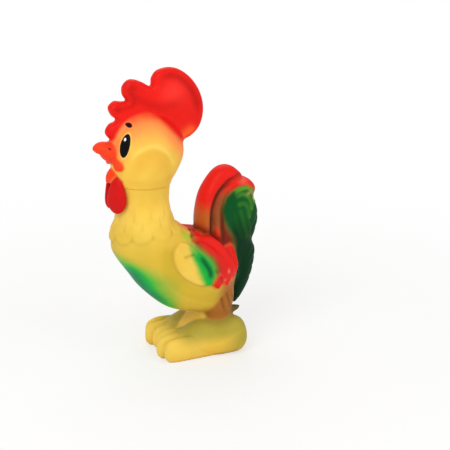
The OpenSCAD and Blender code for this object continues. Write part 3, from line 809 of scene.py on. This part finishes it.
def bodyPaint(skin, far):
    on = skin.on
    x, _, z = skin.side.T
    on["rearWing"] = on["wing_second"] + on["wing_third"] + on["wing_rear"]
    on["wing"] = on["rearWing"] + on["wing_front"]
    on["lobe"] = on["tail_third"] + on["tail_core"]
    on["wedge"] = on["lobe"] * ramp(border("lobe", z) - x, -3, 3) * ramp(z, 58, 64)
    bellyCoats(skin)
    wingCoats(skin)
    redCoats(skin)
    brownCoats(skin, far)
    tailCoats(skin, far)
    # painted highlights: pale spots on the top of a tail feather and on the wing tips
    paintedHighlight = sum(share * bell(skin.fromSpot(spot), r) for spot, r, share in paintedHighlights)
    skin.coat("paintedHighlight", paintedHighlight)
    crease = hollows(skin.piece, skin.co, skin.pairs, 9) * (
        ramp(z, 107, 104) * (1 - 0.5 * on["trunk"] * ramp(z, 70, 74)) * (1 - 0.8 * on["rearWing"] * ramp(z, 55, 62)))
    crease *= 1 - 0.8 * on["green"]
    crease = np.maximum(crease, traced(skin.side, legCreases, 0.9) * on["leg"])
    skin.coat("shade", np.maximum(crease, traced(skin.side, wingTips[:2], 0.9) * on["rearWing"]))


def bellyCoats(skin):
    onTrunk = skin.on["trunk"]
    x, y, z = skin.side.T
    under = ramp(border("belly", z) + 8 - y, 0, 14) * ramp(x, -12, -22) * ramp(z, 72, 58) * ramp(onTrunk, 0.2, 0.6)
    skin.coat("bellyGreen", under)
    core = awayFrom(np.c_[x, np.maximum(y, 6.5), z], bodyLines["bellyCore"])
    skin.coat("bellyDark", (1 - ramp(core, 3, 13)) * under)
    # partly sprayed ochre, partly painted shade: along the flank under the wing, and more of it towards the bottom
    flank = awayFrom(skin.side, bodyLines["flank"])
    skin.coat("ochreAndShade", np.maximum(1 - ramp(flank, 2, 12), border("ochreAndShade", z)) * onTrunk)
    skin.coat("tintGreen", bell(skin.fromSpot(bodySpots["tint"]), 3.8))


def wingCoats(skin):
    onWing = skin.on["wing"]
    band, along = pathDistance(skin.flat, bodyLines["wingBand"])
    band = band / border("wing", along)
    skin.coat("wingGreen", (1 - ramp(band, 0.5, 1.4)) * (0.6 + 0.4 * ramp(along, 0, 0.3)) * onWing, 4)
    vein, along = pathDistance(skin.flat, bodyLines["wingVein"])
    skin.coat("wingDark", (1 - ramp(vein, 0.3, 2.8)) * ramp(along, 0, 0.25) * ramp(along, 1, 0.8) * onWing, 2)
    dusk = awayFrom(skin.side, bodyLines["wingDusk"])
    skin.coat("wingDusk", 0.8 * bell(dusk, 2.8) * skin.on["rearWing"])


def redCoats(skin):
    on = skin.on
    x, y, z = skin.side.T
    red = on["rearWing"] * ramp(x - border("feather", z), -8, -1)
    red += on["trunk"] * ramp(x - border("notch", y), -0.8, 1.2) * ramp(z, 60, 66)
    red += 0.4 * on["trunk"] * ramp(x, -17, -6) * ramp(y, 12, 5) * ramp(z, 74, 78)
    red += 0.35 * on["wedge"]
    upper = on["tail_first"] * (1 - 0.75 * ramp(z, 97, 86) * ramp(z, 73, 79))
    upper += on["tail_second"] * (0.1 + 0.9 * ramp(z, 95, 105) + 0.7 * ramp(z, 82, 75))
    skin.coat("sprayRed", np.clip(red + upper, 0, 1), 3)
    # painted shade in dark red along the saddle crease
    skin.coat("saddleCreaseShade", bell(awayFrom(skin.side, saddleCrease), 1.3))
    # painted shadow in dark red under the tail, where it meets the body and the wing, also darkening the upper wedge
    root = 0.8 * bell(awayFrom(skin.side, bodyLines["tailRoot"]), 2.9)
    root = np.maximum(root, 0.85 * on["wedge"] * ramp(z, 88, 76))
    skin.coat("tailRootShadow", root * (1 - on["wing"] * ramp(z, 77, 72)))


def brownCoats(skin, far):
    on = skin.on
    x, _, z = skin.side.T
    brown = on["tail_first"] * ramp(z, 108, 92) + on["tail_second"] + on["tail_core"] + on["leg"]
    brown += 0.7 * on["foot"] * ramp(far["leg"], 5.8, 0) * ramp(x, -6, 6)
    brown += on["trunk"] * ramp(x, 4, 14) * ramp(z, 56, 46)
    skin.coat("sprayBrown", np.clip(brown, 0, 1), 5)
    skin.coat("tailUmber", on["tail_second"] * ramp(z, 106, 98) * ramp(z, 74, 82) + 0.8 * on["wedge"], 5)
    olive = 0.6 * ramp(z, 7, 17) * ramp(x, -24, -10)
    olive = np.maximum(olive, 0.65 * bell(skin.fromSpot(bodySpots["heel"]), 12))
    skin.coat("footOlive", on["foot"] * olive)


def tailCoats(skin, far):
    on = skin.on
    x, y, z = skin.side.T
    aside = nearest(far, "tail_low", "tail_third", "tail_core")
    rump = on["trunk"] * ramp(aside, 5.8, 1.5) * ramp(z, 38, 44) * ramp(z, 67, 61)
    green = on["lobe"] * ramp(x - border("lobe", z), -3, 3) + on["tail_low"] + rump
    green += 0.7 * ramp(far["spur"], 1.6, 0.4) * ramp(x, 19, 21)
    on["green"] = np.clip(green, 0, 1)
    skin.coat("tailGreen", on["green"], 4)
    skin.coat("tailDark", on["tail_low"] * 0.8 + on["tail_third"] * ramp(z, 90, 72) * 0.8 + rump * 0.9, 8)
    lines = 0
    for path, (wide, low, high, drop) in zip(tailGrooves, ((1.5, 100, 109, 0.5), (1.0, 82, 93, 1))):
        lines = np.maximum(lines, bell(awayFrom(skin.flat, path), wide) * (1 - drop * ramp(z, low, high)))
    skin.coat("tailLine", lines * (on["tail_first"] + on["tail_second"] + on["lobe"]) * ramp(y, 1, 4))
    # painted highlights along the curls of the green lobe, faint along the streaks below
    light = traced(skin.side, tailCurls + tailStreaks, 1.5, streakShares)
    skin.coat("tailHighlight", light * (on["tail_third"] + on["tail_second"]))
    # painted tan highlight on the top curl of the green lobe
    skin.coat("tailTanHighlight", 0.7 * bell(awayFrom(skin.side, bodyLines["tailTanHighlight"]), 1.3) * on["tail_third"])


def bodyVinyl():
    f = Finish("bodyVinyl")
    colour = vinylCoats(f, bodyGround, bodyTones)
    colour = f.mix(f.math("MULTIPLY", f.layer("shade"), 0.55), colour, paint(96, 44, 18))
    vinylSurface(f, colour, (0.38, 0.5))
    return f.mat


# head moulding

head = {
    "seam": 108.2, "crown": 152, "x": 31.2, "long": 44.6, "wide": 41.5, "neckX": 33.5, "neckR": 16.2,
    "cheek": [(0, 0, 0), (.08, .34, .2), (.17, .66, .48), (.32, .94, .86), (.455, 1, 1)],
    "dome": [(.62, .955), (.787, .80), (.90, .60), (.966, .36), (1, .10)],
    "plug": [(98.6, 8.0), (100.8, 8.2), (102.7, 11.2), (104.6, 11.2), (104.6, 8.4), (110, 8.4)],
    "arc": [(-44.7, 124.8), (-42.9, 128.3), (-38.9, 131.2), (-33.5, 132.7), (-28.1, 131.4), (-23.8, 127.8),
            (-20.9, 121.8)],
    "voxel": 0.52,
}


def headRows():
    h = head
    z0, z1, half = h["seam"], h["crown"], h["long"] / 2
    front, back = -h["neckX"] - h["neckR"], h["neckR"] - h["neckX"]
    rows = [(z0 + a * (z1 - z0), front * (1 - b) - (h["x"] + half) * b, back * (1 - c) + (half - h["x"]) * c,
             h["neckR"] * (1 - b) + h["wide"] / 2 * b) for a, b, c in h["cheek"]]
    return rows + [(z0 + a * (z1 - z0), -h["x"] - half * b, half * b - h["x"], h["wide"] / 2 * b)
                   for a, b in h["dome"]]


def cheekArc(side):
    # how far below the soft arc behind the eye a point lies, and how much of the arc is there
    x, y, z = side.T
    arc = runThrough(head["arc"], 6)
    below = np.interp(x, arc[:, 0], arc[:, 1]) - z
    along = ramp(x, -47, -40) * ramp(x, -17, -27) * ramp(y, 5, 11)
    return below, along


comb = {
    "thick": 9.5, "round": 3.4, "front": 25.4, "back": 35.1, "rise": 25.4, "rim": 4.8, "rimWide": 2.6,
    "edge": [(-.50, -.75), (-.83, -.67), (-1.00, -.47), (-.90, -.26), (-.73, -.18), (-.86, -.05), (-.92, .13),
             (-.78, .27), (-.63, .26), (-.50, .27), (-.58, .41), (-.58, .59), (-.45, .74), (-.28, .75), (-.08, .67),
             (.07, .58), (.09, .76), (.18, .93), (.37, 1.00), (.56, .95), (.76, .76), (.92, .46), (1.00, .10),
             (.98, -.26), (.87, -.54), (.66, -.73), (.43, -.71), (.18, -.47), (-.19, -.55)],
    "redX": [-53, -51, -47.4, -42, -36.7, -31.2, -26.5, -22.4, -18.2, -14.7, -9],
    "redZ": [141, 144.2, 147, 148.5, 150.4, 150.5, 148.6, 144.6, 140.3, 136.8, 131],
    "band": [(-38, 0, 160), (-30.3, 0, 156.7), (-23, 0, 155.1), (-16, 0, 156.4)],
    "heel": [(-10.5, 0, 136), (-5, 0, 139.5)],
}


def combEdge():
    c = comb
    return runThrough([(a * (c["front"] if a < 0 else c["back"]), b * c["rise"]) for a, b in c["edge"]], 8)


def combForm():
    c, edge = comb, combEdge()
    d = np.roll(edge, -1, 0) - np.roll(edge, 1, 0)
    inward = np.c_[d[:, 1], -d[:, 0]] / np.linalg.norm(d, axis=1)[:, None]
    rings = []
    for a in np.radians(np.linspace(-90, 90, 13)):
        p = edge + inward * c["round"] * (1 - math.cos(a))
        y = np.full(len(p), c["thick"] / 2 * math.sin(a))
        rings.append(np.c_[p[:, 0] - head["x"], y, p[:, 1] + head["crown"]])
    return ringSkin(rings)


def fromCombEdge(flat):
    edge = combEdge()
    return awayFrom(flat, np.c_[edge[:, 0] - head["x"], 0 * edge[:, 0], edge[:, 1] + head["crown"]], 1)


def redLine(x):
    # where the red of the comb fades out on the head
    return np.interp(x, comb["redX"], comb["redZ"])


def combRim(co, edge):
    # the hollow inside the rim: full on the rear lobe, patches on the small ones
    x, z = co[:, 0], co[:, 2]
    rear = ramp(x, -27, -17) * ramp(z, 146, 156)
    small = 0.8 * ramp(x, -35, -41) * ramp(z - redLine(x), 3, 8)
    return np.clip(rear + small, 0.12, 1) * bell(edge - comb["rim"], comb["rimWide"])


beak = {
    "reach": 33, "tip": 130.6, "wide": 18,
    "corner": [(-53.6, 6.2, 126.2, .6, .6), (-52.2, 7.8, 124.6, 2.6, 2.2), (-50.6, 9.4, 122.6, 3.9, 3),
               (-49.4, 10.3, 121.2, 3.4, 2.6), (-48.6, 10.8, 120.3, .8, .8)],
}


def beakForms():
    tip, z, w = -head["x"] - beak["reach"], beak["tip"], beak["wide"] / 2
    root = -head["x"] - head["long"] / 2
    reach = root - tip
    upper = sweptForm(runThrough([
        (root + 8, 0, z - 3.4, 9.5, w + .5), (root, 0, z - 1.7, 6.4, w - 1.2),
        (root - reach * .45, 0, z + .5, 4.3, w - 3.6), (root - reach * .8, 0, z + .7, 2.8, w - 6),
        (tip, 0, z + .6, .8, .7)], 8))
    lower = sweptForm(runThrough([
        (root + 9, 0, z - 12, 5, w - 1.5), (root + 3, 0, z - 15.5, 4.4, w - 2.5),
        (root - .5, 0, z - 18.5, 3, w - 4.4), (root - 2.5, 0, z - 20.3, .6, 1)], 8))
    return [upper, lower] + bothSides(sweptForm(runThrough(beak["corner"], 6)))


wattle = {"long": 26.5, "wide": 14, "thick": 4.2, "turn": 20, "splay": 48, "r": 19, "lean": 0.8, "top": 119}


def wattleForm():
    w = wattle
    half, long, thick, lean = w["wide"] / 2, w["long"], w["thick"], w["lean"]
    drop = sweptForm(runThrough([
        (0, -4, 0, half * .4, thick * .45), (0, 0, -long * .3, half * .6, thick * .45),
        (0, lean * .5, -long * .65, half * .97, thick * .5), (0, lean, -long * .85, half * .8, thick * .42),
        (0, lean, -long * .97, half * .4, thick * .25), (0, lean, -long, .5, .4)], 8))
    drop = placed(drop, w["turn"] + w["splay"], (-w["r"], 0, 0))
    return placed(drop, -w["turn"], (-head["neckX"], 0, w["top"]))


def headRelief(co, pairs, tags):
    side, z = folded(co), co[:, 2]
    edge = fromCombEdge(flattened(co))
    onComb = softened(tags["comb"], pairs, 3) * ramp(z - redLine(co[:, 0]), 2, 9) * ramp(side[:, 1], 2, 4)
    move = (1.5 * ramp(edge, 6.5, 17) - 0.9 * combRim(co, edge)) * onComb
    below, along = cheekArc(side)
    return move + 0.55 * ramp(below, -2, 2) * (1 - ramp(below, 6, 22)) * along * softened(tags["skull"], pairs, 4)


def makeHead():
    rows = runThrough(headRows(), 6)
    plug = levelStack(roundRows(-head["neckX"], head["plug"]))
    tagged = {"skull": [levelStack(rows, 96), plug], "comb": [combForm()], "beak": beakForms(),
              "wattle": bothSides(wattleForm())}
    piece = meltForms("headSkin", tagged, head["voxel"])
    co, pairs = readPoints(piece), edgePairs(piece)
    co = relaxed(co, pairs, 4)
    meet = np.maximum(surfaceDistance(co, tagged["comb"]), surfaceDistance(co, tagged["skull"][:1]))
    co = pulled(co, pairs, 0.7 * (bell(meet, 3.2) * ramp(co[:, 2], 128, 134)), 90)
    tags = nearestTag(co, tagged)
    writePoints(piece, co)
    co = co + pointNormals(piece) * headRelief(co, pairs, tags)[:, None]
    co = relaxed(co, pairs, 1, 0.35, -0.2)
    co = closeLip(co, tags["skull"], head["seam"], throat["headLip"])
    writePoints(piece, co)
    headPaint(Skin(piece, co, pairs, tags, 2))
    smoothShade(piece)
    putOn(piece.data, headVinyl())
    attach(piece, "head")
    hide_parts("head_shell")
    print("head:", len(piece.data.vertices), "points")


headTones = {
    "cheek": (228, 170, 60), "cheekHighlight": (252, 222, 128), "blush": (252, 178, 78), "glow": (252, 140, 72),
    "combRed": (234, 28, 20), "combRimShade": (196, 18, 12), "combHollowShade": (200, 18, 14), "combHighlight": (252, 66, 56),
    "combOrange": (252, 104, 44), "beakRed": (248, 66, 30), "wattleRed": (208, 20, 20),
}
headGround = ((244, 206, 88), (238, 192, 72))


def headPaint(skin):
    on, onComb, onSkull = skin.on, skin.on["comb"], skin.on["skull"]
    x, _, z = skin.side.T
    above = z - redLine(x)
    skin.coat("combRed", np.maximum(ramp(above, -3.5, 3), onComb * ramp(above, -9, -3)), 3)
    # painted shade in the groove inside the comb's rim
    skin.coat("combRimShade", 0.85 * combRim(skin.co, fromCombEdge(skin.flat)) * ramp(above, 2, 8) * onComb)
    # painted shade in the hollow between the comb's bulge and the head
    skin.coat("combHollowShade", 0.6 * bell(awayFrom(skin.flat, comb["band"]), 2.6) * onComb)
    skin.coat("combOrange", 0.75 * bell(awayFrom(skin.flat, comb["heel"]), 3.2) * onComb)
    # painted highlight on the bulge of the rear lobe
    skin.coat("combHighlight", 0.5 * bell(x + 17, 7) * bell(z - 163, 6) * onComb)
    skin.coat("glow", np.maximum(ramp(above, -19, 0), ramp(x, -42, -53) * ramp(z, 120, 132)))
    skin.coat("beakRed", on["beak"], 2)
    skin.coat("wattleRed", on["wattle"])
    below, along = cheekArc(skin.side)
    # ochre painted as shade below the cheek arc
    skin.coat("cheek", 0.65 * (1 - ramp(below, 3, 18)) * ramp(below, -1.5, 1) * along * onSkull)
    # painted highlight along the top of the cheek arc
    skin.coat("cheekHighlight", 0.3 * bell(below + 2.2, 1.2) * along * onSkull)
    crease = hollows(skin.piece, skin.co, skin.pairs, 9)
    skin.coat("shade", crease * ramp(z, 110, 113) * (1 - ramp(onSkull, 0.75, 1)))
    skin.coat("blush", ramp(x, -30, -16) * ramp(z, 128, 140) * onSkull)


face = {
    # middle, half width and height in millimetres, lean, and the way across the face there
    "eye": ((-47.8, 12.2, 134.3), (3.35, 6.9), 8, (0.68, 0.73)),
    "glint": ((-47.4, 11.2, 138.0), (0.8, 0.95), 0, (0.68, 0.73)),
    "brow": ((-43.9, 7.6, 145.7), (2.6, 1.15), 14, (0.68, 0.73)),
    "nostril": ((-55.4, 3.4, 131.8), (0.9, 0.6), 20, (1, 0)),
    "coats": [  # mark, where it fades out, where it is full, share, tone
        ("eye", 1.3, 1.0, 0.5, (250, 214, 116)), ("eye", 1.02, 0.97, 1, (8, 7, 9)),
        ("glint", 1.1, 0.85, 1, (250, 250, 250)), ("brow", 1.1, 0.9, 1, (36, 10, 8)),
        ("nostril", 1.4, 0.7, 0.8, (136, 14, 8)),
    ],
}


def ovalShare(f, spot, half, lean, across):
    # distance from the middle of an oval on the side of the head, 1 at its edge
    part = f.node("ShaderNodeSeparateXYZ", {0: f.place()}).outputs
    c, s = math.cos(math.radians(lean)), math.sin(math.radians(lean))
    x = f.math("MULTIPLY_ADD", part[0], 1 / mm, -spot[0])
    y = f.math("MULTIPLY_ADD", f.math("ABSOLUTE", part[1]), 1 / mm, -spot[1])
    v = f.math("MULTIPLY_ADD", part[2], 1 / mm, -spot[2])
    h = f.math("MULTIPLY_ADD", x, across[0], f.math("MULTIPLY", y, across[1]))
    a = f.math("MULTIPLY_ADD", h, c, f.math("MULTIPLY", v, -s))
    b = f.math("MULTIPLY_ADD", h, s, f.math("MULTIPLY", v, c))
    shares = [f.math("DIVIDE", a, half[0]), f.math("DIVIDE", b, half[1])]
    return f.math("SQRT", f.math("ADD", *[f.math("MULTIPLY", share, share) for share in shares]))


def headVinyl():
    f = Finish("headVinyl")
    colour = vinylCoats(f, headGround, headTones)
    colour = f.mix(f.math("MULTIPLY", f.layer("shade"), 0.45), colour, paint(120, 30, 14))
    for mark, out, full, share, tone in face["coats"]:
        oval = ovalShare(f, *face[mark])
        colour = f.mix(f.spread(oval, out, full, 0, share), colour, paint(*tone))
    vinylSurface(f, colour, (0.36, 0.48))
    return f.mat


# squeaker pieces keep their CAD shape

squeaker = {
    "white": ((233, 231, 222), (222, 219, 208)), "film": ((206, 164, 86), (188, 142, 66)),
    "patch": 160, "grain": 300, "bump": (1500, 0.08, 0.0003),
}


def squeakerPlastic(name, tones, rough):
    f = Finish(name)
    f.set(Base_Color=f.mix(f.noise(squeaker["patch"], 3), paint(*tones[0]), paint(*tones[1])))
    f.set(Roughness=f.spread(f.noise(squeaker["grain"], 2), 0.3, 0.7, rough, rough + 0.12))
    f.bumpy(*squeaker["bump"])
    return f.mat


def dressSqueaker():
    white = squeakerPlastic("squeakerPlastic", squeaker["white"], 0.42)
    film = squeakerPlastic("reedFilm", squeaker["film"], 0.2)
    for name in ("squeaker_barrel", "squeaker_cap", "reed_channel", "reed_clamp", "reed_tongue"):
        putOn(frame["nodes"][name].data, film if name == "reed_tongue" else white)
    print("squeaker dressed")


setCamera()
setLamps()
setWorld()
setFloor()
makeBody()
makeHead()
dressSqueaker()
view = bpy.context.scene.view_settings
view.view_transform = "Standard"
